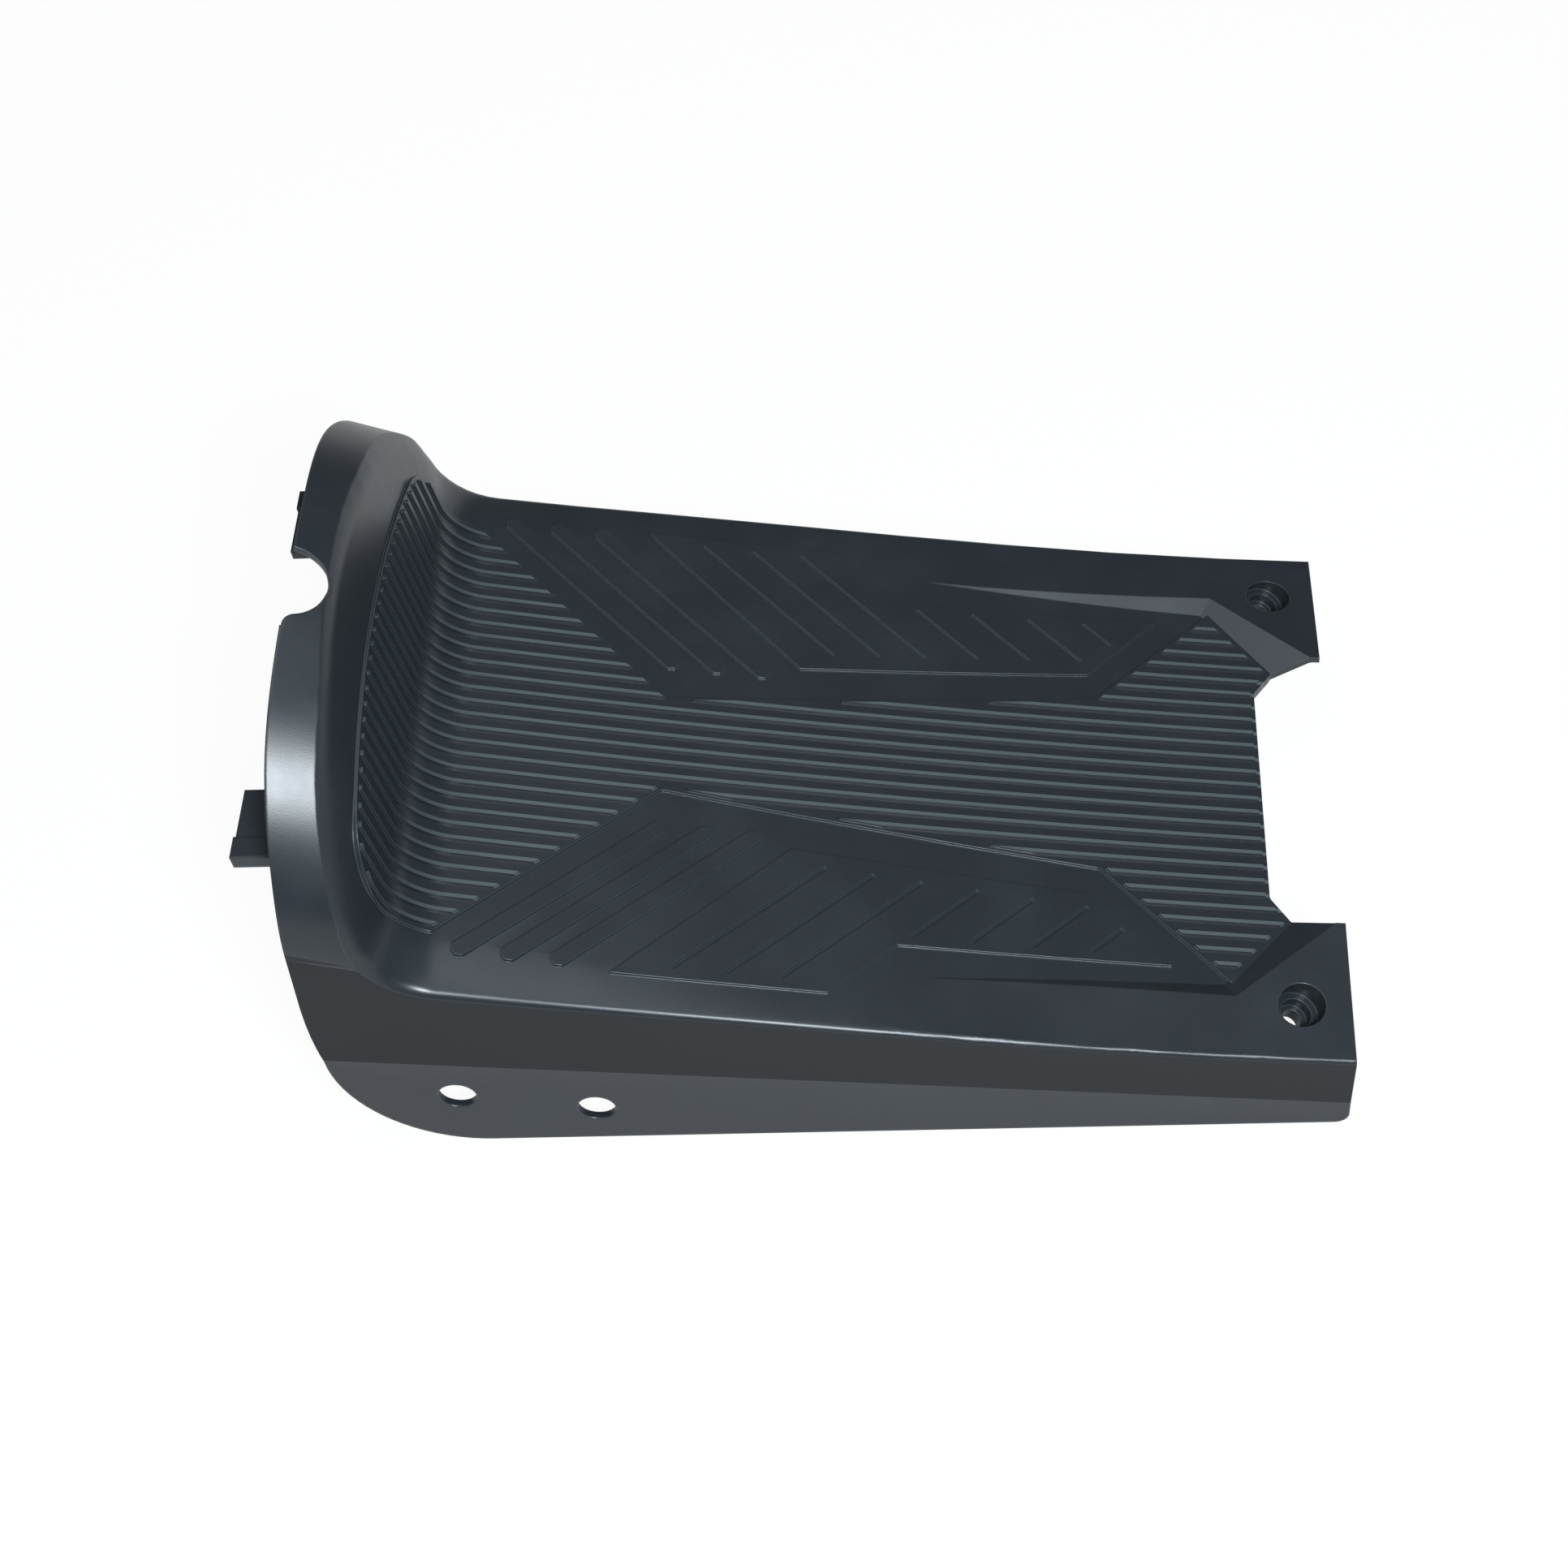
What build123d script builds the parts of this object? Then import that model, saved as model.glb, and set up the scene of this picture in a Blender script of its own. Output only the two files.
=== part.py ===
from build123d import *
from math import asin, atan2, cos, degrees, radians, sin, sqrt, tan
import os

# Scooter floorboard: a one-piece moulded shell. A ribbed, sloping deck rolls up into a front
# wall under an arched brow. Millimetres, +Z up, +X to the rear, the rim standing on z = 0.
# Lengths along x are drawn from the foot of the front wall; the last step moves the middle
# of the footprint to the origin.

# Shell
half_width = 112.5
wall = 2.8
rim = -2.0
rear_end = 304.0
rear_corner_radius = 5.0
front_edge = ((-58.0, 50.0), (-57.5, 84.0), (-54.0, 117.0), (-52.0, 150.0), (-51.4, 180.0), (-46.8, 201.0))

# Side profile of the ribbed ground: deck arc, bend and leaning front wall
foot_height = 97.55
foot_slope = 14.0
deck_radius = 3180.0
deck_rear_slope = 7.0
bend_radius = 23.0
wall_setback = 23.0
wall_lean = 6.0
wall_top = foot_height + 137.45

# Skin outside the ribbed ground, with a border that falls away to the crest and the brow
recess = 1.1
border_width = 24.0
border_drop = 4.5
border_fade = 150.0
border_centre = (40.0, 95.0)  # the fall grows from nothing to full between these offsets
border_lip = 0.1
border_overhang = 6.0
border_headroom = 8.0
border_least_fall = 0.1
border_steps = 5
inner_border_steps = 3
rail_clear = 0.3
border_start_slope = 4.4
border_shoulder_angles = (29.0, 34.0)
border_arch_angles = (40.0, 94.0)

# Rounding of the crest and of the brow's edge: how far it reaches in and down
crest_round = (2.6, 1.7)
brow_round = (6.0, 1.8)
brow_clear = 0.3

# Brow: arched front of the shell, swept forward and up
brow_x = -34.0
brow_height = foot_height + 95.45
brow_radius = half_width + 14.5
shoulder_radius = 50.0
brow_rise = 0.46
brow_start = -9.0

# Lower band of the side walls, slightly flared
band_front_height = 44.65
band_slope = 0.1133
band_flare = 5.0

# Tread
rib_pitch = 6.0
rib_count = 30
rib_width = 1.7
rib_height = 1.0
rib_margin = 1.5
tread_half_width = 90.0
tread_top = foot_height + 62.45
tread_top_radius = 220.0
tread_corner_radius = 27.0

# Foot pads beside the tread, drawn as x and offset from the centre line
pad_front = (-11.3, 90.0)
pad_inner_front = (61.5, 20.7)
pad_inner_rear = (218.0, 38.0)
pad_rear = (262.0, 81.5)
pad_corner_radius = 3.5

# Raised bars and fields on the pads, and the grooves in the fields
relief = 1.0
slant = 42.5
bar_count = 3
bar_pitch = 16.6
bar_width = 6.0
bar_corner = 1.8
bar_first = -3.4
bar_outer = 96.8
bar_inner = 35.4
field_front = 49.0
field_outer = 98.5
field_inner_front = (108.7, 40.5)
field_inner_rear = (216.0, 49.3)
field_rear = (242.5, 76.8)
field_waist = 123.0
groove_width = 1.6
groove_floor = 0.1
long_groove_count = 3
long_groove_pitch = 18.5
long_groove_first = 70.0
long_groove_offset = 94.0
short_groove_count = 4
short_groove_pitch = 21.1
short_groove_first = 151.3
short_groove_offset = 73.2
groove_margin = 6.0

# Rear rails: tops ruled between an outer crest and an inner line, with sloping inner sides
rail_start = 150.0
rail_crest_height = foot_height - 58.65
rail_crest_slope = 0.1
rail_crest_radius = 1400.0
rail_inner_offset = 60.0
rail_inner_height = foot_height - 52.95
rail_inner_slope = 0.117
rail_edge_offset = 89.0
rail_corner_x = 264.0
rail_tip_x = 299.8
rail_side_angle = 30.0
rail_slant_angle = 23.0
rail_floor = 25.0
rail_stations = (314.0, 270.0, 227.0, 185.0)

# Rear notch between the rails
notch_x = 278.6
notch_half_width = 46.0
notch_bend = (285.5, 55.5)
notch_mouth = 59.2
notch_corner_radius = 3.0

# Screw seats in the rails: stepped holes, leaning, with depths below the rail's top
screw_x = 286.6
screw_offset = 91.3
screw_lean = 18.0
screw_hole = 7.0
seat_diameter = 16.4
seat_depth = 5.8
neck_diameter = 11.2
neck_depth = 10.0
boss_diameter = 22.0
boss_depth = 15.0

# Holes in the side walls
side_hole = 14.0
side_hole_places = ((-14.3, 26.8), (35.1, 17.0))

# Notch in the front edge of the brow, left of centre
brow_notch_offset = -12.6
brow_notch_radius = 13.2
brow_notch_x = -48.7
brow_notch_corner = 5.4
brow_notch_front = -48.0

# Hooks reaching forward from the front wall
hook_inner = 53.0
hook_step = 73.0
hook_outer = 81.5
hook_height = foot_height + 35.45
hook_thickness = 4.0
hook_block_height = 6.0
hook_tip = -73.3
hook_block_tip = -73.8
hook_gusset = 2.5
hook_gusset_drop = 26.0

# Stiffening ribs under the deck
stiffener = 2.0
stiffener_depth = 9.0
stiffener_overlap = 0.5
cross_stiffeners = (70.0, 140.0, 210.0)
long_stiffeners = (-45.0, 45.0)

# How far trimming and cutting shapes run past the part
reach = 500.0
spare = 20.0
side_limit = half_width + 15.5


def direction(angle):
    """Direction from an arc's centre to its point where the profile rises forward at an angle."""
    return Vector(-sin(radians(angle)), 0, -cos(radians(angle)))


def bend_slope():
    """Slope at which the deck arc passes into the bend."""
    from_wall = (deck_centre - wall_foot).dot(direction(wall_slope) * -1)
    return degrees(asin((from_wall - bend_radius) / (deck_radius - bend_radius))) - wall_lean


wall_slope = 90.0 - wall_lean
wall_foot = Vector(-wall_setback, 0, foot_height)
wall_along = Vector(-sin(radians(wall_lean)), 0, cos(radians(wall_lean)))
deck_centre = Vector(0, 0, foot_height) - direction(foot_slope) * deck_radius
bend_start = bend_slope()
bend_centre = deck_centre + direction(bend_start) * (deck_radius - bend_radius)

shoulder_offset = half_width - shoulder_radius
brow_centre = brow_height - brow_radius
shoulder_rise = sqrt((brow_radius - shoulder_radius) ** 2 - shoulder_offset**2)
shoulder_height = brow_centre + shoulder_rise
shoulder_angle = atan2(shoulder_rise, shoulder_offset)


def deck_at(slope, raised):
    return deck_centre + direction(slope) * (deck_radius - raised)


def bend_at(slope, raised):
    return bend_centre + direction(slope) * (bend_radius - raised)


def wall_at(height, raised):
    foot = bend_at(wall_slope, raised)
    return foot + wall_along * ((height - foot.Z) / wall_along.Z)


def prism(outline, bottom=-spare, top=wall_top + spare):
    """Upright block over a plan outline."""
    return extrude(Pos(0, 0, bottom) * outline, amount=top - bottom, dir=(0, 0, 1))


def mirrored(shape):
    return shape + mirror(shape, Plane.XZ)


def profile(level):
    """Edges of the side profile at a level above the ribbed ground, from the rear to the wall's top."""
    deck_slopes = (deck_rear_slope, (deck_rear_slope + bend_start) / 2, bend_start)
    bend_slopes = (bend_start, (bend_start + wall_slope) / 2, wall_slope)
    return [
        ThreePointArc(*[deck_at(slope, level) for slope in deck_slopes]),
        ThreePointArc(*[bend_at(slope, level) for slope in bend_slopes]),
        Line(bend_at(wall_slope, level), wall_at(wall_top, level)),
    ]


def full_width(edges):
    """Block over the full width with a given side view."""
    return Pos(0, -side_limit, 0) * Solid.extrude(Face(Wire(edges)), Vector(0, 2 * side_limit, 0))


def layer(top, bottom):
    """Slab along the profile between two levels."""
    ends = [
        Line(wall_at(wall_top, top), wall_at(wall_top, bottom)),
        Line(deck_at(deck_rear_slope, top), deck_at(deck_rear_slope, bottom)),
    ]
    return full_width(profile(top) + profile(bottom) + ends)


def below(level):
    """Everything below and in front of the profile at a level."""
    front = brow_x - 5 * spare
    rear = deck_at(deck_rear_slope, level)
    top = wall_at(wall_top, level)
    corners = [top, Vector(front, 0, top.Z), Vector(front, 0, -spare), Vector(rear.X, 0, -spare), rear]
    return full_width(profile(level) + [Line(a, b) for a, b in zip(corners, corners[1:])])


def border_fall(x, y):
    """How far the skin has fallen away at the outline."""
    start, full = border_centre
    side = min(max((y - start) / (full - start), 0), 1)
    back = min(max(x / border_fade, 0), 1)
    return border_drop * side**2 * (3 - 2 * side) * (1 - back) ** 2


def on_brow(y, z, level):
    """Point of the wall where the swept brow meets it, for a point of the brow's section."""
    foot = bend_at(wall_slope, level)
    lean = wall_along.X / wall_along.Z
    height = (z + brow_rise * (brow_x - foot.X + lean * foot.Z)) / (1 + brow_rise * lean)
    return wall_at(height, level) + Vector(0, y, 0)


def to_outline(point, inward, arch):
    """How far inward from a point the shell's outline lies, beside an arch of given centre and radius."""
    y, z, radius = arch
    rise = point.Z - z - brow_rise * (brow_x - point.X)
    if rise < 0 or point.X > brow_start:
        return point.Y - y - radius
    away = Vector(point.Y - y, rise)
    along = Vector(inward.Y, inward.Z + brow_rise * inward.X)
    steep = away.dot(along)
    square = along.dot(along)
    return (-steep - sqrt(steep**2 - square * (away.dot(away) - radius**2))) / square


def border_stations(level, inset, steps):
    """Places along the outline from the deck up the arch: point, normal, way in, brow share and arch."""
    shoulder = (shoulder_offset, shoulder_height, shoulder_radius - inset)
    brow = (0.0, brow_centre, brow_radius - inset)
    start = deck_rear_slope + border_start_slope
    slopes = [start + (bend_start - start) * i / steps for i in range(steps)]
    places = [(deck_at(slope, level), slope, 0.0) for slope in slopes]
    for i in range(2 * steps - 1):
        share = i / (2 * steps - 2)
        slope = bend_start + (wall_slope - bend_start) * share
        places.append((bend_at(slope, level), slope, share))
    stations = []
    for point, slope, share in places:
        inward = Vector(0, -1, 0)
        side = point + Vector(0, half_width - inset, 0)
        side += inward * to_outline(side, inward, shoulder)
        stations.append((side, direction(slope) * -1, inward, share, shoulder))
    rounds = ((border_shoulder_angles, 2, shoulder), (border_arch_angles, 2 * steps, brow))
    for (first, last), count, arch in rounds:
        y, z, radius = arch
        for i in range(count):
            angle = radians(first + (last - first) * i / (count - 1))
            point = on_brow(y + radius * cos(angle), z + radius * sin(angle), level)
            inward = Vector(0, -cos(angle), 0) - wall_along * sin(angle)
            stations.append((point, direction(wall_slope) * -1, inward, 1.0, arch))
    return stations


def crest_stations():
    """Places along the outer edge of a rail, from the rear."""
    stations = []
    for x in rail_stations:
        point = rail_point(x, half_width)
        normal = Vector(point.Z - rail_height(x + 1, half_width), 0, 1).normalized()
        inward = Vector(0, -1, rail_height(x, half_width - 1) - point.Z)
        stations.append((point, normal, inward, 0.0, (shoulder_offset, shoulder_height, shoulder_radius)))
    return stations


def border_section(point, normal, inward, share, arch):
    """Section of the space above the border: hollow border, rounded edge, then clear of the part."""
    fall = max(border_fall(point.X, point.Y), border_least_fall)
    if point.X > border_fade:
        fall = -rail_clear
    depth, drop = (a + (b - a) * share for a, b in zip(crest_round, brow_round))

    def skin_height(inside):
        return border_lip - (border_lip + fall) * (1 - inside / border_width) ** 2

    def place(spot):
        return point + inward * spot.X + normal * spot.Y

    half_way = (border_width + depth) / 2
    start = Vector(depth, skin_height(depth))
    steepness = 2 * (border_lip + fall) * (1 - depth / border_width) / border_width
    toward = Vector(-1, -steepness).normalized()
    outer = to_outline(place(Vector(0, -fall - drop)), inward, arch)
    if share == 1:
        outer -= brow_clear
    end = Vector(outer, -fall - drop)
    chord = end - start
    along = chord.normalized()
    bow = (toward - along * toward.dot(along)).normalized()
    turn = radians(toward.get_angle(along))
    middle = start + chord / 2 + bow * (chord.length / 2 * tan(turn / 2))
    spots = [
        Vector(border_width, border_lip),
        Vector(half_way, skin_height(half_way)),
        start,
        middle,
        end,
        end - Vector(border_overhang, 0),
        Vector(end.X - border_overhang, 2 * border_headroom),
        Vector(border_width, border_headroom),
    ]
    places = [place(spot) for spot in spots]
    loop = places[4:] + places[:1]
    arcs = [ThreePointArc(*places[:3]), ThreePointArc(*places[2:5])]
    return Wire(arcs + [Line(a, b) for a, b in zip(loop, loop[1:])])


def border_cut():
    """Space above the border of one side, rounding the crest and the brow's edge."""
    stations = crest_stations() + border_stations(-recess, 0, border_steps)
    return Solid.make_loft([border_section(*station) for station in stations], True)


def inner_border_cut(level, inset):
    """Space above the border of one side as seen from inside, in plain flats."""
    sections = []
    for point, normal, inward, *_ in border_stations(level, inset, inner_border_steps):
        fall = border_fall(point.X, point.Y) - rail_clear
        top = border_lip + border_headroom
        inner = point + inward * border_width + normal * border_lip
        outer = point - inward * border_overhang - normal * fall * (1 + border_overhang / border_width)
        sections.append(Wire.make_polygon([inner, outer, outer + normal * 2 * top, inner + normal * top]))
    return Solid.make_loft(sections, True)


def brow_section(inset):
    """Arched section of the shell where the brow starts."""
    rise = brow_rise * (brow_start - brow_x)
    centre = brow_centre - rise
    spring = shoulder_height - rise
    radius = shoulder_radius - inset
    side = half_width - inset

    def shoulder(angle):
        return (shoulder_offset + radius * cos(angle), spring + radius * sin(angle))

    right = shoulder(shoulder_angle)
    middle = shoulder(shoulder_angle / 2)
    top = (0, centre + brow_radius - inset)
    edges = [
        Line((-side, -spare), (side, -spare)),
        Line((side, -spare), (side, spring)),
        ThreePointArc((side, spring), middle, right),
        ThreePointArc(right, top, (-right[0], right[1])),
        ThreePointArc((-right[0], right[1]), (-middle[0], middle[1]), (-side, spring)),
        Line((-side, spring), (-side, -spare)),
    ]
    return Plane.YZ.offset(brow_start) * make_face(edges)


def band_height(x):
    return band_front_height - band_slope * x


def flared_band(inset):
    """Block between the flared lower bands of the side walls."""
    front, rear = brow_x - 3 * spare, rear_end + spare
    side = Polyline(
        (front, -spare), (rear, -spare), (rear, band_height(rear)), (front, band_height(front)), close=True
    )
    block = extrude(Plane.XZ * make_face(side), amount=side_limit, both=True)
    flare = tan(radians(band_flare))
    for hand in (1, -1):
        outward = Vector(band_slope * flare, hand, flare)
        edge = Plane(origin=(0, hand * (half_width - inset), band_front_height), z_dir=outward)
        block = split(block, bisect_by=edge, keep=Keep.BOTTOM)
    return block


def tunnel(inset):
    """Space inside the shell's outline, or inside a copy of it drawn in by the wall."""
    forward = 4 * spare
    brow = Solid.extrude(brow_section(inset).face(), Vector(-forward, 0, brow_rise * forward))
    side = half_width - inset
    rear = rear_end + spare
    box = Pos((brow_start + rear) / 2, 0, wall_top / 2) * Box(rear - brow_start, 2 * side, wall_top + spare)
    return brow + box + flared_band(inset)


def side_block():
    """Side view of the shell as a block: front edge, round lower front corner, rim and rear end."""
    low, top_point = front_edge[0], front_edge[-1]
    corner = low[1] - rim
    corner_bend = corner * (1 - sqrt(0.5))
    rim_front = low[0] + corner
    rear_bend = rear_corner_radius * (1 - sqrt(0.5))
    rim_rear = rear_end - rear_corner_radius
    top = wall_top + spare
    edges = [
        Spline(*front_edge),
        Line(top_point, (top_point[0], top)),
        Line((top_point[0], top), (rear_end, top)),
        Line((rear_end, top), (rear_end, rim + rear_corner_radius)),
        ThreePointArc(
            (rear_end, rim + rear_corner_radius), (rear_end - rear_bend, rim + rear_bend), (rim_rear, rim)
        ),
        Line((rim_rear, rim), (rim_front, rim)),
        ThreePointArc((rim_front, rim), (low[0] + corner_bend, rim + corner_bend), low),
    ]
    return extrude(Plane.XZ * make_face(edges), amount=side_limit, both=True)


def rail_height(x, y):
    back = rear_end - x
    crest = rail_crest_height + rail_crest_slope * back + back**2 / (2 * rail_crest_radius)
    inner = rail_inner_height + rail_inner_slope * back
    return inner + (crest - inner) * (y - rail_inner_offset) / (half_width - rail_inner_offset)


def rail_point(x, y, lowered=0.0):
    return Vector(x, y, rail_height(x, y) - lowered)


def rail_side(start, end, angle, inset):
    """Plane of a rail's sloping inner side through two points of its upper edge."""
    along = (end - start).normalized()
    inward = Vector(-abs(along.Y), -abs(along.X), 0).normalized()
    drop = inward * cos(radians(angle)) + Vector(0, 0, -sin(radians(angle)))
    normal = along.cross(drop).normalized()
    if normal.Z > 0:
        normal = normal * -1
    return Plane(origin=start + normal * inset, z_dir=normal)


def rails(inset):
    """Both rails, or copies drawn in by the wall, reaching down into the skin."""
    front, rear = rail_start + inset, rear_end + spare
    inner, outer = notch_half_width - spare, side_limit
    rulings = []
    for y in (inner, outer):
        points = [rail_point(x, y, inset) for x in (front, (front + rear) / 2, rear)]
        rulings.append(ThreePointArc(*points))
    top = Face.make_surface_from_curves(rulings[0], rulings[1])
    block = Solid.extrude(top, Vector(0, 0, -rail_floor))
    corner = rail_point(rail_corner_x, rail_edge_offset)
    straight = rail_side(rail_point(rail_start, rail_edge_offset), corner, rail_side_angle, inset)
    slanted = rail_side(corner, rail_point(rail_tip_x, rail_inner_offset), rail_slant_angle, inset)
    rail = split(block, bisect_by=straight, keep=Keep.TOP) + split(block, bisect_by=slanted, keep=Keep.TOP)
    return mirrored(rail)


def tread_plan(rear_points):
    """Plan of the ribbed ground: across the front wall, between the pads and out to the rails."""
    half = [
        (brow_x - spare, tread_half_width),
        pad_front,
        pad_inner_front,
        pad_inner_rear,
        pad_rear,
        *rear_points,
    ]
    other = [(x, -y) for x, y in reversed(half)]
    plan = make_face(Polyline(*half, *other, close=True))
    corners = [v for v in plan.vertices() if pad_front[0] + 1 < v.X < pad_rear[0] + 1]
    return fillet(corners, pad_corner_radius)


def tread_front():
    """Front view of the ribbed ground on the wall."""
    disc = Pos(0, tread_top - tread_top_radius) * Circle(tread_top_radius)
    front = disc & (Pos(0, tread_top / 2) * Rectangle(2 * tread_half_width, tread_top + spare))
    corners = [v for v in front.vertices() if v.Y > tread_top / 2]
    return fillet(corners, tread_corner_radius)


def standing(front):
    """Block behind and before a front-view outline."""
    return extrude(Plane.YZ * front, amount=reach, both=True)


def tread():
    """Ribbed ground with its ribs."""
    front = tread_front()
    under_rails = [(rail_corner_x + 6, rail_edge_offset - 1), (rail_tip_x, rail_inner_offset + 3)]
    ground = layer(0, -2 * recess) & prism(tread_plan(under_rails)) & standing(front)
    rib_plan = offset(tread_plan([notch_bend, (notch_x, notch_half_width)]), -rib_margin)
    stripes = Sketch()
    for i in range(rib_count):
        y = (i - (rib_count - 1) / 2) * rib_pitch
        stripes += Pos(rear_end / 2, y) * Rectangle(2 * rear_end, rib_width)
    ribs = layer(rib_height, -recess) & prism(stripes & rib_plan) & standing(offset(front, -rib_margin))
    return ground, ribs


def slanted(x, y_outer, y_inner, width):
    """Strip that runs inward and to the rear from its outer end."""
    length = (y_outer - y_inner) / sin(radians(slant))
    middle = (x + (y_outer - y_inner) / tan(radians(slant)) / 2, (y_outer + y_inner) / 2)
    return Pos(*middle) * Rot(0, 0, -slant) * Rectangle(length, width)


def field_plan():
    along = field_rear[1] - field_outer
    return make_face(
        Polyline(
            (field_front, field_outer),
            field_inner_front,
            field_inner_rear,
            field_rear,
            (field_waist - along / tan(radians(slant)), field_rear[1]),
            (field_waist, field_outer),
            close=True,
        )
    )


def field_edge(x):
    """Offset of the field's inner edge."""
    (x0, y0), (x1, y1) = field_inner_front, field_inner_rear
    return y0 + (y1 - y0) * (x - x0) / (x1 - x0)


def groove_plan():
    plan = Sketch()
    rows = (
        (long_groove_count, long_groove_first, long_groove_pitch, long_groove_offset),
        (short_groove_count, short_groove_first, short_groove_pitch, short_groove_offset),
    )
    for count, first, pitch, outer in rows:
        for i in range(count):
            x = first + i * pitch
            run = outer - field_edge(x) - groove_margin
            end = field_edge(x + run) + groove_margin
            plan += slanted(x, outer, end, groove_width)
    return plan & offset(field_plan(), -groove_margin / 2)


def pad_relief():
    """Raised bars and fields of both pads."""
    plan = field_plan()
    for i in range(bar_count):
        bar = slanted(bar_first + i * bar_pitch, bar_outer, bar_inner, bar_width)
        plan += chamfer(bar.vertices(), bar_corner)
    return mirrored(prism(plan)) & layer(relief - recess, -2 * recess)


def grooves():
    return mirrored(prism(groove_plan())) & layer(relief + recess, groove_floor - recess)


def stiffeners():
    """Lattice of ribs under the deck."""
    roof = -recess - wall
    plan = Sketch()
    for x in cross_stiffeners:
        plan += Pos(x, 0) * Rectangle(stiffener, 2 * (half_width - wall) + 1)
    for y in long_stiffeners:
        plan += Pos(notch_x / 2, y) * Rectangle(notch_x - spare, stiffener)
    return layer(roof + stiffener_overlap, roof - stiffener_depth) & prism(plan)


def about_screws(diameter, top, bottom):
    """Cylinders about the leaning axes of the screws, between two depths."""
    up = Vector(sin(radians(screw_lean)), 0, cos(radians(screw_lean)))
    foot = rail_point(screw_x, screw_offset) - up * bottom
    return mirrored(extrude(Plane(origin=foot, z_dir=up) * Circle(diameter / 2), amount=bottom - top))


def screw_cuts():
    seat = about_screws(seat_diameter, -spare, seat_depth)
    neck = about_screws(neck_diameter, -spare, neck_depth)
    return seat + neck + about_screws(screw_hole, -spare, boss_depth + spare)


def hooks():
    """Tongues with a thicker outer block, each held by an upright gusset."""
    root = -wall_setback - 3 * wall
    tongue = Pos((root + hook_tip) / 2, (hook_inner + hook_step) / 2, hook_height) * Box(
        root - hook_tip, hook_step - hook_inner, hook_thickness
    )
    block = Pos((root + hook_block_tip) / 2, (hook_step + hook_outer) / 2, hook_height) * Box(
        root - hook_block_tip, hook_outer - hook_step, hook_block_height
    )
    foot = (root + wall, hook_height - hook_gusset_drop)
    side = make_face(Polyline((root + wall, hook_height), (hook_tip, hook_height), foot, close=True))
    gusset = extrude(Plane.XZ * side, amount=hook_gusset / 2, both=True)
    gusset = Pos(0, (hook_inner + hook_step) / 2, 0) * gusset
    return mirrored(tongue + block + gusset)


def side_hole_cuts():
    cuts = Part()
    for x, z in side_hole_places:
        cuts += Pos(x, 0, z) * Rot(90, 0, 0) * Cylinder(side_hole / 2, 2 * side_limit)
    return cuts


def brow_notch():
    """Round notch whose near side turns into the front edge with a rounded corner."""
    centre = (brow_notch_x, brow_notch_offset)
    corner_x = brow_notch_front + brow_notch_corner
    apart = brow_notch_radius + brow_notch_corner
    corner = (corner_x, brow_notch_offset - sqrt(apart**2 - (corner_x - brow_notch_x) ** 2))
    front = brow_notch_x - spare
    near = make_face(Polyline(centre, corner, (front, corner[1]), (front, centre[1]), close=True))
    near -= Pos(*corner) * Circle(brow_notch_corner)
    far = Pos(brow_notch_x - spare / 2, brow_notch_offset + brow_notch_radius / 2) * Rectangle(
        spare, brow_notch_radius
    )
    return prism(Pos(*centre) * Circle(brow_notch_radius) + near + far, bottom=brow_height - spare)


def rear_notch():
    half = [
        (notch_x, notch_half_width),
        notch_bend,
        (rear_end - 4, notch_mouth),
        (rear_end + spare, notch_mouth),
    ]
    other = [(x, -y) for x, y in reversed(half)]
    plan = make_face(Polyline(*half, *other, close=True))
    return prism(fillet(plan.vertices().group_by(Axis.X)[0], notch_corner_radius))


def floorboard():
    outline = tunnel(0) & side_block()
    outside = below(-recess) + rails(0) - mirrored(border_cut())
    roof = -recess - wall
    inside = below(roof) - mirrored(inner_border_cut(roof, wall))
    ground, ribs = tread()
    body = (outside + ground + ribs + pad_relief()) & outline
    body -= grooves()
    body -= (inside + rails(wall)) & tunnel(wall)
    body += stiffeners() & outline
    body += about_screws(boss_diameter, 0, boss_depth) & outside
    body += hooks()
    body -= screw_cuts()
    body -= side_hole_cuts()
    body -= brow_notch()
    body -= rear_notch()
    return body


part = floorboard()
box = part.bounding_box()
part = Pos(-(box.min.X + box.max.X) / 2, 0, -box.min.Z) * part

os.makedirs("parts", exist_ok=True)
export_step(part, "parts/floorboard.step")
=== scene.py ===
import bpy
from bpy.props import FloatProperty, FloatVectorProperty, PointerProperty
from mathutils import Matrix, Vector

bl_info = {
    "name": "Scooter floorboard",
    "version": (1, 0, 0),
    "blender": (4, 5, 0),
    "location": "View3D > Sidebar > Floorboard",
    "description": "Finishes a moulded scooter floorboard and sets it on a studio floor",
    "category": "Object",
}

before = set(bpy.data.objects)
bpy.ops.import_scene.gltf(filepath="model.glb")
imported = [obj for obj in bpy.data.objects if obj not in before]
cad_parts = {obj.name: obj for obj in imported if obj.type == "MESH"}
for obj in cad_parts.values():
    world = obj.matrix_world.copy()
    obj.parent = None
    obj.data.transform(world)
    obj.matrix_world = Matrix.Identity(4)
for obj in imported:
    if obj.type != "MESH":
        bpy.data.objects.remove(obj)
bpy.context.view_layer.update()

# Anti-slip ribs: their spacing, half the width of the lighter strip painted on each top as its
# highlight, and its soft edge
RIB_PITCH = 0.006
RIB_HIGHLIGHT_HALF = 0.00075
RIB_FADE = 0.0001

# Line where the ribs end beside the foot pads and rails: its bends from front to rear,
# each as a place along the part and a distance from the middle line
PAD_BENDS = [
    (-0.1264, 0.0900),
    (-0.0536, 0.0207),
    (0.1029, 0.0380),
    (0.1469, 0.0815),
    (0.1704, 0.0555),
    (0.1890, 0.0400),
]

# The tread, with its painted rib highlight and without rounded edges, fades in at this distance
# inside that line, and fades out at this height on the front wall
PAD_MARGIN = (0.0014, 0.0018)
TREAD_FADE_HEIGHT = (0.098, 0.118)

# Way that the deck and the front wall both face, and how far a face turns to it to take the painted
# rib highlight
UPPER_WAY = (0.6, 0.0, 0.8)
UPPER_TURN = (0.3, 0.4)

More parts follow.
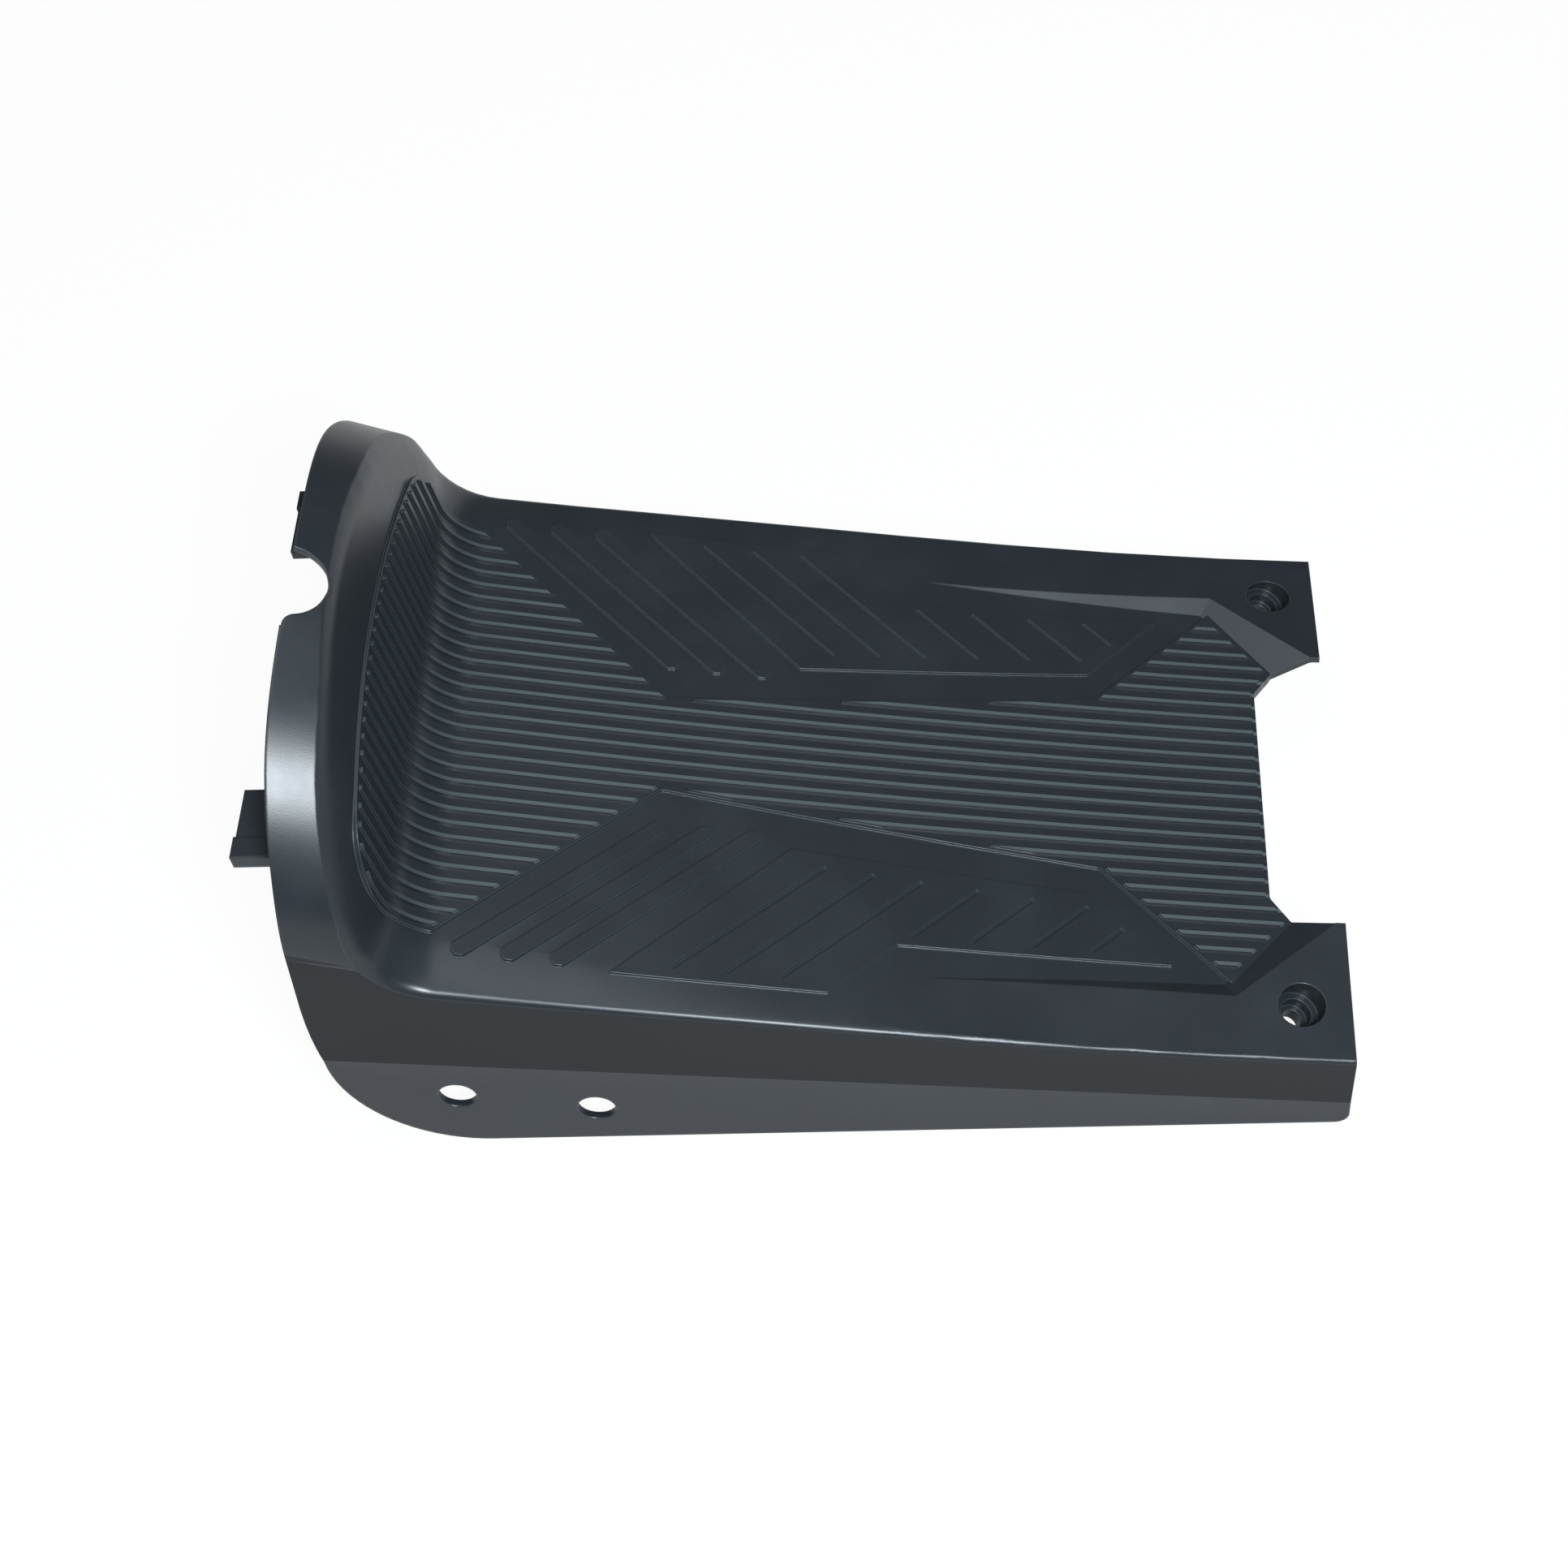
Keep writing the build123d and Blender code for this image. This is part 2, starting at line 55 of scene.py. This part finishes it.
# Tread with level shading: half its width, its top, the most that a facet leans to the side,
# and the least that it turns to the upper way
TREAD_MIDDLE = 0.0450
TREAD_TOP = 0.150
LEVEL_LEAN = 0.6
LEVEL_TURN = 0.5

# Where the larger edge radius sets in: out at the crest, up on the brow and forward on its front
CREST_SIDE = (0.101, 0.106)
BROW_HEIGHT = (0.160, 0.172)
BROW_FRONT = (-0.166, -0.172)

# Outer faces of the side walls, which get painted shade and a duller satin: distance from the middle
# line, turn to the side and lean
WALL_SIDE = (0.1105, 0.1115)
WALL_TURN = (0.96, 0.98)
WALL_LEAN = (0.03, 0.06)

# Scuffs: how far an edge turns, how strongly it is scuffed, and the same for the faint clouds
EDGE_TURN = (0.98, 0.80)
EDGE_SCUFF = 0.8
CLOUD_SPAN = (0.45, 0.75)
CLOUD_SCUFF = 0.1

# Gloss: part of the clouds that changes the satin, and how much smoother and rougher it gets
GLOSS_SPAN = (0.3, 0.7)
SATIN_SMOOTHER = 0.03
SATIN_ROUGHER = 0.04

# The grit in the etched grain is this many times finer than its cells
GRIT_FINER = 2.2

# Corners of the shell that lie nearer than this are one corner
JOIN_GAP = 2e-6

# Studio floor, room and lamps
FLOOR_HALF = 6.0
FLOOR_WHITE = 1.05
ROOM_COLOUR = (0.94, 0.97, 1.0)
KEY_PLACE = (0.385, -0.887, 1.18)
KEY_TARGET = (-0.16, -0.077, 0.175)
KEY_SIZE = 0.34
OVERHEAD_PLACE = (-0.06, 0.1, 1.4)
OVERHEAD_TARGET = (0.0, 0.0, 0.07)
OVERHEAD_SIZE = 1.0

# Camera: its place, the ways of its right, top and back, its frame in mm and its reach
CAMERA_PLACE = (0.089335, -0.551846, 0.845346)
CAMERA_RIGHT = (0.994120, 0.039942, -0.100653)
CAMERA_UP = (0.024846, 0.820564, 0.571015)
CAMERA_BACK = (0.105399, -0.570158, 0.814746)
CAMERA_FRAME = 36.0
CAMERA_REACH = 20.0


class MouldedPlastic(bpy.types.PropertyGroup):
    """Finish of the moulded shell."""

    charcoal: FloatVectorProperty(
        name="Charcoal",
        description="Colour of the plastic",
        subtype="COLOR",
        size=3,
        min=0.0,
        max=1.0,
        default=(0.0200, 0.0243, 0.0300),
    )
    scuffed: FloatVectorProperty(
        name="Scuffed charcoal",
        description="Colour of the plastic on rubbed edges and in faint clouds",
        subtype="COLOR",
        size=3,
        min=0.0,
        max=1.0,
        default=(0.0720, 0.0850, 0.0950),
    )
    # Painted highlight: a lighter colour on the rib tops stands in for the light that they catch
    rib_highlight: FloatVectorProperty(
        name="Rib highlight colour",
        description="Painted highlight colour on the tops of the anti-slip ribs",
        subtype="COLOR",
        size=3,
        min=0.0,
        max=1.0,
        default=(0.0900, 0.1060, 0.1180),
    )
    satin: FloatProperty(
        name="Satin",
        description="Roughness of the moulded surface",
        subtype="FACTOR",
        min=0.0,
        max=1.0,
        default=0.31,
    )
    # Painted shade: a darker colour on the upright side walls above the flared band
    side_shade: FloatVectorProperty(
        name="Side shade colour",
        description="Painted shade colour of the plain side walls above the flared band",
        subtype="COLOR",
        size=3,
        min=0.0,
        max=1.0,
        default=(0.0090, 0.0105, 0.0135),
    )
    side_satin: FloatProperty(
        name="Side satin",
        description="Roughness of the plain side walls above the flared band",
        subtype="FACTOR",
        min=0.0,
        max=1.0,
        default=0.66,
    )
    grain: FloatProperty(
        name="Grain",
        description="Size of one grain of the mould's etched texture",
        subtype="DISTANCE",
        unit="LENGTH",
        default=0.0006,
    )
    grain_depth: FloatProperty(
        name="Grain depth",
        description="Depth of the etched texture",
        subtype="DISTANCE",
        unit="LENGTH",
        default=0.00003,
    )
    pad_edge: FloatProperty(
        name="Pad edge radius",
        description="Rounding of the bars, pads and grooves",
        subtype="DISTANCE",
        unit="LENGTH",
        default=0.0006,
    )
    outer_edge: FloatProperty(
        name="Outer edge radius",
        description="Rounding along the crest and the brow",
        subtype="DISTANCE",
        unit="LENGTH",
        default=0.0014,
    )
    smooth_angle: FloatProperty(
        name="Smooth angle",
        description="Faces that meet at less than this angle are shaded as one",
        subtype="ANGLE",
        unit="ROTATION",
        default=0.2,
    )


class Studio(bpy.types.PropertyGroup):
    """Floor, lamps and camera."""

    floor_colour: FloatVectorProperty(
        name="Floor colour",
        description="Colour of the studio floor",
        subtype="COLOR",
        size=3,
        min=0.0,
        max=1.0,
        default=(0.60, 0.60, 0.60),
    )
    floor_glow: FloatProperty(
        name="Floor glow",
        description="Share of plain white in the floor as it is seen",
        subtype="FACTOR",
        min=0.0,
        max=1.0,
        default=0.9,
    )
    mirrored_glow: FloatProperty(
        name="Mirrored glow",
        description="Share of plain white in the floor as it is mirrored",
        subtype="FACTOR",
        min=0.0,
        max=1.0,
        default=0.45,
    )
    key_power: FloatProperty(
        name="Key lamp",
        description="Power of the soft lamp beside the camera",
        subtype="POWER",
        unit="POWER",
        default=23.0,
    )
    overhead_power: FloatProperty(
        name="Overhead lamp",
        description="Power of the wide lamp above",
        subtype="POWER",
        unit="POWER",
        default=5.0,
    )
    lamp_colour: FloatVectorProperty(
        name="Lamp colour",
        description="Colour of both lamps",
        subtype="COLOR",
        size=3,
        min=0.0,
        max=1.0,
        default=(0.86, 0.95, 1.0),
    )
    room_light: FloatProperty(
        name="Room light",
        description="Strength of the even light from all round",
        min=0.0,
        soft_max=2.0,
        default=0.1,
    )
    lens: FloatProperty(
        name="Lens",
        description="Focal length on a 36 mm square frame",
        subtype="DISTANCE_CAMERA",
        unit="CAMERA",
        default=59.67,
    )


def link(tree, source, output, target, socket):
    tree.links.new(source.outputs[output], target.inputs[socket])


def node(tree, kind, **values):
    """New node of a kind, with its own settings."""
    made = tree.nodes.new(kind)
    for name, value in values.items():
        setattr(made, name, value)
    return made


def ramp(tree, source, output, start, end, low=0.0, high=1.0):
    """Node that maps a value from start..end to low..high."""
    made = node(tree, "ShaderNodeMapRange")
    made.inputs["From Min"].default_value = start
    made.inputs["From Max"].default_value = end
    made.inputs["To Min"].default_value = low
    made.inputs["To Max"].default_value = high
    link(tree, source, output, made, "Value")
    return made


def combined(tree, operation, first, first_output, second, second_output):
    """Node that makes one value of two, as their product, sum, difference or the greater one."""
    made = node(tree, "ShaderNodeMath", operation=operation)
    link(tree, first, first_output, made, 0)
    link(tree, second, second_output, made, 1)
    return made


def split(tree, source, output):
    """Node that splits a place or a normal into X, Y and Z."""
    made = node(tree, "ShaderNodeSeparateXYZ")
    link(tree, source, output, made, "Vector")
    return made


def unsigned(tree, source, output):
    """Node that drops the sign of a value, so that both sides of the part are alike."""
    made = node(tree, "ShaderNodeMath", operation="ABSOLUTE")
    link(tree, source, output, made, 0)
    return made


def turned_up(tree, source, output):
    """Node that tells how far a normal turns to the way that deck and front wall face."""
    made = node(tree, "ShaderNodeVectorMath", operation="DOT_PRODUCT")
    made.inputs[1].default_value = UPPER_WAY
    link(tree, source, output, made, 0)
    return made


def compared(tree, source, output, operation, limit):
    """Node that tests a value against a limit."""
    made = node(tree, "FunctionNodeCompare", data_type="FLOAT", operation=operation)
    made.inputs["B"].default_value = limit
    link(tree, source, output, made, "A")
    return made


def tread_plan(tree, place):
    """One on the tread between the foot pads and the rails, nothing elsewhere."""
    spot = split(tree, place, "Object")
    side = unsigned(tree, spot, "Y")
    (x, y), (next_x, next_y) = PAD_BENDS[:2]
    reach, socket = ramp(tree, spot, "X", x, next_x, y, next_y), "Result"
    for (x, y), (next_x, next_y) in zip(PAD_BENDS[1:], PAD_BENDS[2:]):
        more = ramp(tree, spot, "X", x, next_x, 0.0, next_y - y)
        reach, socket = combined(tree, "ADD", reach, socket, more, "Result"), "Value"
    room = combined(tree, "SUBTRACT", reach, socket, side, "Value")
    inside = ramp(tree, room, "Value", *PAD_MARGIN)
    low = ramp(tree, spot, "Z", *TREAD_FADE_HEIGHT, 1.0, 0.0)
    return combined(tree, "MULTIPLY", inside, "Result", low, "Result")


def painted_rib_highlight(tree, place, flat):
    """One on the tops of the anti-slip ribs of the deck, where a lighter colour is painted as their
    highlight, nothing elsewhere.
    """
    spot = split(tree, place, "Object")
    # The first ribs stand half a pitch from the middle line, where this distance is greatest
    across = node(tree, "ShaderNodeMath", operation="PINGPONG")
    across.inputs[1].default_value = RIB_PITCH / 2
    link(tree, spot, "Y", across, 0)
    # Painted highlight: the lighter strip on a rib top begins at this distance and reaches to the
    # rib's middle
    rubbed = RIB_PITCH / 2 - RIB_HIGHLIGHT_HALF
    top = ramp(tree, across, "Value", rubbed - RIB_FADE, rubbed + RIB_FADE)
    upper = ramp(tree, turned_up(tree, flat, "True Normal"), "Value", *UPPER_TURN)
    rib = combined(tree, "MULTIPLY", top, "Result", upper, "Result")
    return combined(tree, "MULTIPLY", rib, "Value", tread_plan(tree, place), "Value")


def side_shade_and_satin(tree, place, flat):
    """One on the outside of the upright side walls, where they get painted shade and a duller satin,
    nothing on the flared band or elsewhere.
    """
    spot = split(tree, place, "Object")
    normal = split(tree, flat, "True Normal")
    upright = ramp(tree, unsigned(tree, normal, "Z"), "Value", *WALL_LEAN, 1.0, 0.0)
    sideways = ramp(tree, unsigned(tree, normal, "Y"), "Value", *WALL_TURN)
    outside = ramp(tree, unsigned(tree, spot, "Y"), "Value", *WALL_SIDE)
    wall = combined(tree, "MULTIPLY", upright, "Result", sideways, "Result")
    return combined(tree, "MULTIPLY", wall, "Value", outside, "Result")


def soft_edges(tree, place, finish):
    """Rounded normals: small radii on the foot pads, larger ones on crest and brow, none on ribs."""
    spot = split(tree, place, "Object")
    at_crest = ramp(tree, unsigned(tree, spot, "Y"), "Value", *CREST_SIDE)
    at_brow = ramp(tree, spot, "Z", *BROW_HEIGHT)
    at_front = ramp(tree, spot, "X", *BROW_FRONT)
    outside = combined(tree, "MAXIMUM", at_crest, "Result", at_brow, "Result")
    outside = combined(tree, "MAXIMUM", outside, "Value", at_front, "Result")
    radius = ramp(tree, outside, "Value", 0.0, 1.0, finish.pad_edge, finish.outer_edge)
    off_tread = ramp(tree, tread_plan(tree, place), "Value", 0.0, 0.5, 1.0, 0.0)
    radius = combined(tree, "MULTIPLY", radius, "Result", off_tread, "Result")
    rounded = node(tree, "ShaderNodeBevel", samples=8)
    link(tree, radius, "Value", rounded, "Radius")
    return rounded


def etched_grain(tree, place, finish):
    """Height of the mould's etched texture: fine cells broken up by finer grit."""
    cells = node(tree, "ShaderNodeTexVoronoi", feature="SMOOTH_F1")
    cells.inputs["Scale"].default_value = 1.0 / finish.grain
    cells.inputs["Smoothness"].default_value = 0.6
    grit = node(tree, "ShaderNodeTexNoise")
    grit.inputs["Scale"].default_value = GRIT_FINER / finish.grain
    grit.inputs["Detail"].default_value = 3.0
    height = node(tree, "ShaderNodeMix", data_type="FLOAT")
    height.inputs["Factor"].default_value = 0.45
    link(tree, place, "Object", cells, "Vector")
    link(tree, place, "Object", grit, "Vector")
    link(tree, cells, "Distance", height, "A")
    link(tree, grit, "Fac", height, "B")
    return height


def faint_clouds(tree, place):
    """Slow noise that makes the gloss and the scuffs uneven."""
    cloud = node(tree, "ShaderNodeTexNoise")
    cloud.inputs["Scale"].default_value = 24.0
    cloud.inputs["Detail"].default_value = 6.0
    cloud.inputs["Roughness"].default_value = 0.62
    link(tree, place, "Object", cloud, "Vector")
    return cloud


def grained_normal(tree, place, rounded, finish):
    """Rounded normals with the etched grain on them."""
    bump = node(tree, "ShaderNodeBump")
    bump.inputs["Strength"].default_value = 0.4
    bump.inputs["Distance"].default_value = finish.grain_depth
    link(tree, etched_grain(tree, place, finish), "Result", bump, "Height")
    link(tree, rounded, "Normal", bump, "Normal")
    return bump


def satin_gloss(tree, cloud, wall, finish):
    """Roughness: satin with faint clouds, and duller side walls."""
    smoothest = finish.satin - SATIN_SMOOTHER
    roughest = finish.satin + SATIN_ROUGHER
    satin = ramp(tree, cloud, "Fac", *GLOSS_SPAN, smoothest, roughest)
    roughness = node(tree, "ShaderNodeMix", data_type="FLOAT")
    roughness.inputs["B"].default_value = finish.side_satin
    link(tree, wall, "Value", roughness, "Factor")
    link(tree, satin, "Result", roughness, "A")
    return roughness


def scuffs(tree, flat, rounded, cloud):
    """Share of scuffing: strong where an edge turns, weak in the faint clouds."""
    turn = node(tree, "ShaderNodeVectorMath", operation="DOT_PRODUCT")
    link(tree, rounded, "Normal", turn, 0)
    link(tree, flat, "Normal", turn, 1)
    edge = ramp(tree, turn, "Value", *EDGE_TURN, 0.0, EDGE_SCUFF)
    clouds = ramp(tree, cloud, "Fac", *CLOUD_SPAN, 0.0, CLOUD_SCUFF)
    return combined(tree, "MAXIMUM", edge, "Result", clouds, "Result")


def layered_colour(tree, base, layers):
    """Base colour with other colours laid over it in turn, each by its own share."""
    under = None
    for colour, share in layers:
        layer = node(tree, "ShaderNodeMix", data_type="RGBA")
        layer.inputs["A"].default_value = (*base, 1.0)
        layer.inputs["B"].default_value = (*colour, 1.0)
        link(tree, share, "Value", layer, "Factor")
        if under:
            link(tree, under, "Result", layer, "A")
        under = layer
    return under


def charcoal_plastic(finish):
    """Satin charcoal plastic with an etched grain, rounded edges, a little scuffing, a painted
    highlight on the rib tops and painted shade on the upright side walls.
    """
    material = bpy.data.materials.new("charcoal_plastic")
    material.use_nodes = True
    tree = material.node_tree
    shader = tree.nodes["Principled BSDF"]
    place = node(tree, "ShaderNodeTexCoord")
    flat = node(tree, "ShaderNodeNewGeometry")
    rounded = soft_edges(tree, place, finish)
    cloud = faint_clouds(tree, place)
    wall = side_shade_and_satin(tree, place, flat)
    layers = [
        (finish.scuffed, scuffs(tree, flat, rounded, cloud)),
        # Painted highlight: the lighter rib tops
        (finish.rib_highlight, painted_rib_highlight(tree, place, flat)),
        # Painted shade: the darker upright side walls
        (finish.side_shade, wall),
    ]
    link(tree, layered_colour(tree, finish.charcoal, layers), "Result", shader, "Base Color")
    link(tree, satin_gloss(tree, cloud, wall, finish), "Result", shader, "Roughness")
    link(tree, grained_normal(tree, place, rounded, finish), "Normal", shader, "Normal")
    return material


def level_tread(group):
    """Normals of the shell, with those of the tread's ground and rib tops level from side to side."""
    normal = node(group, "GeometryNodeInputNormal")
    lean = unsigned(group, split(group, normal, "Normal"), "Y")
    turn = turned_up(group, normal, "Normal")
    spot = split(group, node(group, "GeometryNodeInputPosition"), "Position")
    side = unsigned(group, spot, "Y")
    tests = [
        compared(group, lean, "Value", "LESS_THAN", LEVEL_LEAN),
        compared(group, turn, "Value", "GREATER_THAN", LEVEL_TURN),
        compared(group, side, "Value", "LESS_THAN", TREAD_MIDDLE),
        compared(group, spot, "Z", "LESS_THAN", TREAD_TOP),
    ]
    picked, socket = tests[0], "Result"
    for test in tests[1:]:
        both = node(group, "FunctionNodeBooleanMath", operation="AND")
        link(group, picked, socket, both, 0)
        link(group, test, "Result", both, 1)
        picked, socket = both, "Boolean"
    upright = node(group, "ShaderNodeVectorMath", operation="MULTIPLY")
    upright.inputs[1].default_value = (1.0, 0.0, 1.0)
    link(group, normal, "Normal", upright, 0)
    level = node(group, "ShaderNodeVectorMath", operation="NORMALIZE")
    link(group, upright, "Vector", level, 0)
    choice = node(group, "GeometryNodeSwitch", input_type="VECTOR")
    link(group, picked, socket, choice, "Switch")
    link(group, normal, "Normal", choice, "False")
    link(group, level, "Vector", choice, "True")
    return choice


def smooth_faces(finish):
    """Nodes that join the shell's faces and shade the shallow joints between them as one."""
    group = bpy.data.node_groups.new("smooth_moulded_faces", "GeometryNodeTree")
    group.interface.new_socket("Geometry", in_out="INPUT", socket_type="NodeSocketGeometry")
    group.interface.new_socket("Geometry", in_out="OUTPUT", socket_type="NodeSocketGeometry")
    start = node(group, "NodeGroupInput")
    joined = node(group, "GeometryNodeMergeByDistance")
    joined.inputs["Distance"].default_value = JOIN_GAP
    plain = node(group, "GeometryNodeRemoveAttribute")
    plain.inputs["Name"].default_value = "custom_normal"
    soft = node(group, "GeometryNodeSetShadeSmooth", domain="FACE")
    joints = node(group, "GeometryNodeSetShadeSmooth", domain="EDGE")
    creases = node(group, "GeometryNodeSetShadeSmooth", domain="EDGE")
    creases.inputs["Shade Smooth"].default_value = False
    angle = node(group, "GeometryNodeInputMeshEdgeAngle")
    sharp = compared(group, angle, "Unsigned Angle", "GREATER_THAN", finish.smooth_angle)
    link(group, sharp, "Result", creases, "Selection")
    chain = [start, joined, plain, soft, joints, creases]
    for before, after in zip(chain, chain[1:]):
        link(group, before, "Geometry", after, "Geometry")
    level = node(group, "GeometryNodeSetMeshNormal", mode="FREE", domain="CORNER")
    link(group, creases, "Geometry", level, "Mesh")
    link(group, level_tread(group), "Output", level, "Custom Normal")
    link(group, level, "Mesh", node(group, "NodeGroupOutput"), "Geometry")
    return group


class FLOORBOARD_OT_moulded_shell(bpy.types.Operator):
    """Give the moulded shell its finish"""

    bl_idname = "floorboard.moulded_shell"
    bl_label = "Moulded shell"

    def execute(self, context):
        finish = context.scene.moulded_plastic
        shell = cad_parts["floorboard"]
        shell.data.materials.clear()
        shell.data.materials.append(charcoal_plastic(finish))
        smooth = shell.modifiers.new("smooth_faces", "NODES")
        smooth.node_group = smooth_faces(finish)
        return {"FINISHED"}


def white_floor(studio):
    """Matte pale floor, seen and mirrored as near white, with the object's shadow kept."""
    material = bpy.data.materials.new("white_floor")
    material.use_nodes = True
    tree = material.node_tree
    tree.nodes.remove(tree.nodes["Principled BSDF"])
    output = tree.nodes["Material Output"]
    matte = node(tree, "ShaderNodeBsdfDiffuse")
    matte.inputs["Color"].default_value = (*studio.floor_colour, 1.0)
    glow = node(tree, "ShaderNodeEmission")
    glow.inputs["Strength"].default_value = FLOOR_WHITE
    rays = node(tree, "ShaderNodeLightPath")
    straight = combined(tree, "MAXIMUM", rays, "Is Camera Ray", rays, "Is Transmission Ray")
    seen = ramp(tree, straight, "Value", 0.0, 1.0, 0.0, studio.floor_glow)
    mirrored = ramp(tree, rays, "Is Glossy Ray", 0.0, 1.0, 0.0, studio.mirrored_glow)
    share = combined(tree, "MAXIMUM", seen, "Result", mirrored, "Result")
    mix = node(tree, "ShaderNodeMixShader")
    link(tree, share, "Value", mix, 0)
    link(tree, matte, "BSDF", mix, 1)
    link(tree, glow, "Emission", mix, 2)
    link(tree, mix, "Shader", output, "Surface")
    return material


def studio_floor(studio):
    """Square floor that the part stands on."""
    mesh = bpy.data.meshes.new("studio_floor")
    half = FLOOR_HALF
    corners = [(-half, -half, 0.0), (half, -half, 0.0), (half, half, 0.0), (-half, half, 0.0)]
    mesh.from_pydata(corners, [], [(0, 1, 2, 3)])
    floor = bpy.data.objects.new("studio_floor", mesh)
    floor.data.materials.append(white_floor(studio))
    bpy.context.scene.collection.objects.link(floor)


def soft_lamp(name, place, target, size, power, colour):
    """Round lamp that stands at a place and shines at a target."""
    lamp = bpy.data.lights.new(name, "AREA")
    lamp.shape = "DISK"
    lamp.size = size
    lamp.energy = power
    lamp.color = colour
    made = bpy.data.objects.new(name, lamp)
    way = (Vector(target) - Vector(place)).to_track_quat("-Z", "Y")
    made.matrix_world = Matrix.Translation(place) @ way.to_matrix().to_4x4()
    bpy.context.scene.collection.objects.link(made)


def room(studio):
    """World that gives the even light from all round."""
    world = bpy.data.worlds.new("room")
    world.use_nodes = True
    backdrop = world.node_tree.nodes["Background"]
    backdrop.inputs["Color"].default_value = (*ROOM_COLOUR, 1.0)
    backdrop.inputs["Strength"].default_value = studio.room_light
    return world


def photo_camera(studio):
    """Camera at the place and angle of the photo's."""
    camera = bpy.data.cameras.new("photo_camera")
    camera.sensor_width = CAMERA_FRAME
    camera.lens = studio.lens
    camera.clip_end = CAMERA_REACH
    viewer = bpy.data.objects.new("photo_camera", camera)
    turn = Matrix((CAMERA_RIGHT, CAMERA_UP, CAMERA_BACK)).transposed().to_4x4()
    viewer.matrix_world = Matrix.Translation(CAMERA_PLACE) @ turn
    bpy.context.scene.collection.objects.link(viewer)
    return viewer


class FLOORBOARD_OT_studio(bpy.types.Operator):
    """Set the floor, the lamps, the room light and the camera"""

    bl_idname = "floorboard.studio"
    bl_label = "Studio"

    def execute(self, context):
        scene = context.scene
        studio = scene.studio
        colour = studio.lamp_colour
        studio_floor(studio)
        soft_lamp("key_lamp", KEY_PLACE, KEY_TARGET, KEY_SIZE, studio.key_power, colour)
        soft_lamp(
            "overhead_lamp",
            OVERHEAD_PLACE,
            OVERHEAD_TARGET,
            OVERHEAD_SIZE,
            studio.overhead_power,
            colour,
        )
        scene.world = room(studio)
        scene.camera = photo_camera(studio)
        scene.view_settings.view_transform = "Standard"
        return {"FINISHED"}


class FLOORBOARD_PT_sidebar(bpy.types.Panel):
    """Sidebar panel with the floorboard's operators and settings"""

    bl_label = "Scooter floorboard"
    bl_idname = "FLOORBOARD_PT_sidebar"
    bl_space_type = "VIEW_3D"
    bl_region_type = "UI"
    bl_category = "Floorboard"

    def draw(self, context):
        layout = self.layout
        layout.operator(FLOORBOARD_OT_moulded_shell.bl_idname)
        for name in MouldedPlastic.__annotations__:
            layout.prop(context.scene.moulded_plastic, name)
        layout.operator(FLOORBOARD_OT_studio.bl_idname)
        for name in Studio.__annotations__:
            layout.prop(context.scene.studio, name)


classes = (
    MouldedPlastic,
    Studio,
    FLOORBOARD_OT_moulded_shell,
    FLOORBOARD_OT_studio,
    FLOORBOARD_PT_sidebar,
)


def register():
    for item in classes:
        bpy.utils.register_class(item)
    bpy.types.Scene.moulded_plastic = PointerProperty(type=MouldedPlastic)
    bpy.types.Scene.studio = PointerProperty(type=Studio)


def unregister():
    del bpy.types.Scene.studio
    del bpy.types.Scene.moulded_plastic
    for item in reversed(classes):
        bpy.utils.unregister_class(item)


def main():
    register()
    bpy.ops.floorboard.moulded_shell()
    bpy.ops.floorboard.studio()


if __name__ == "__main__":
    main()
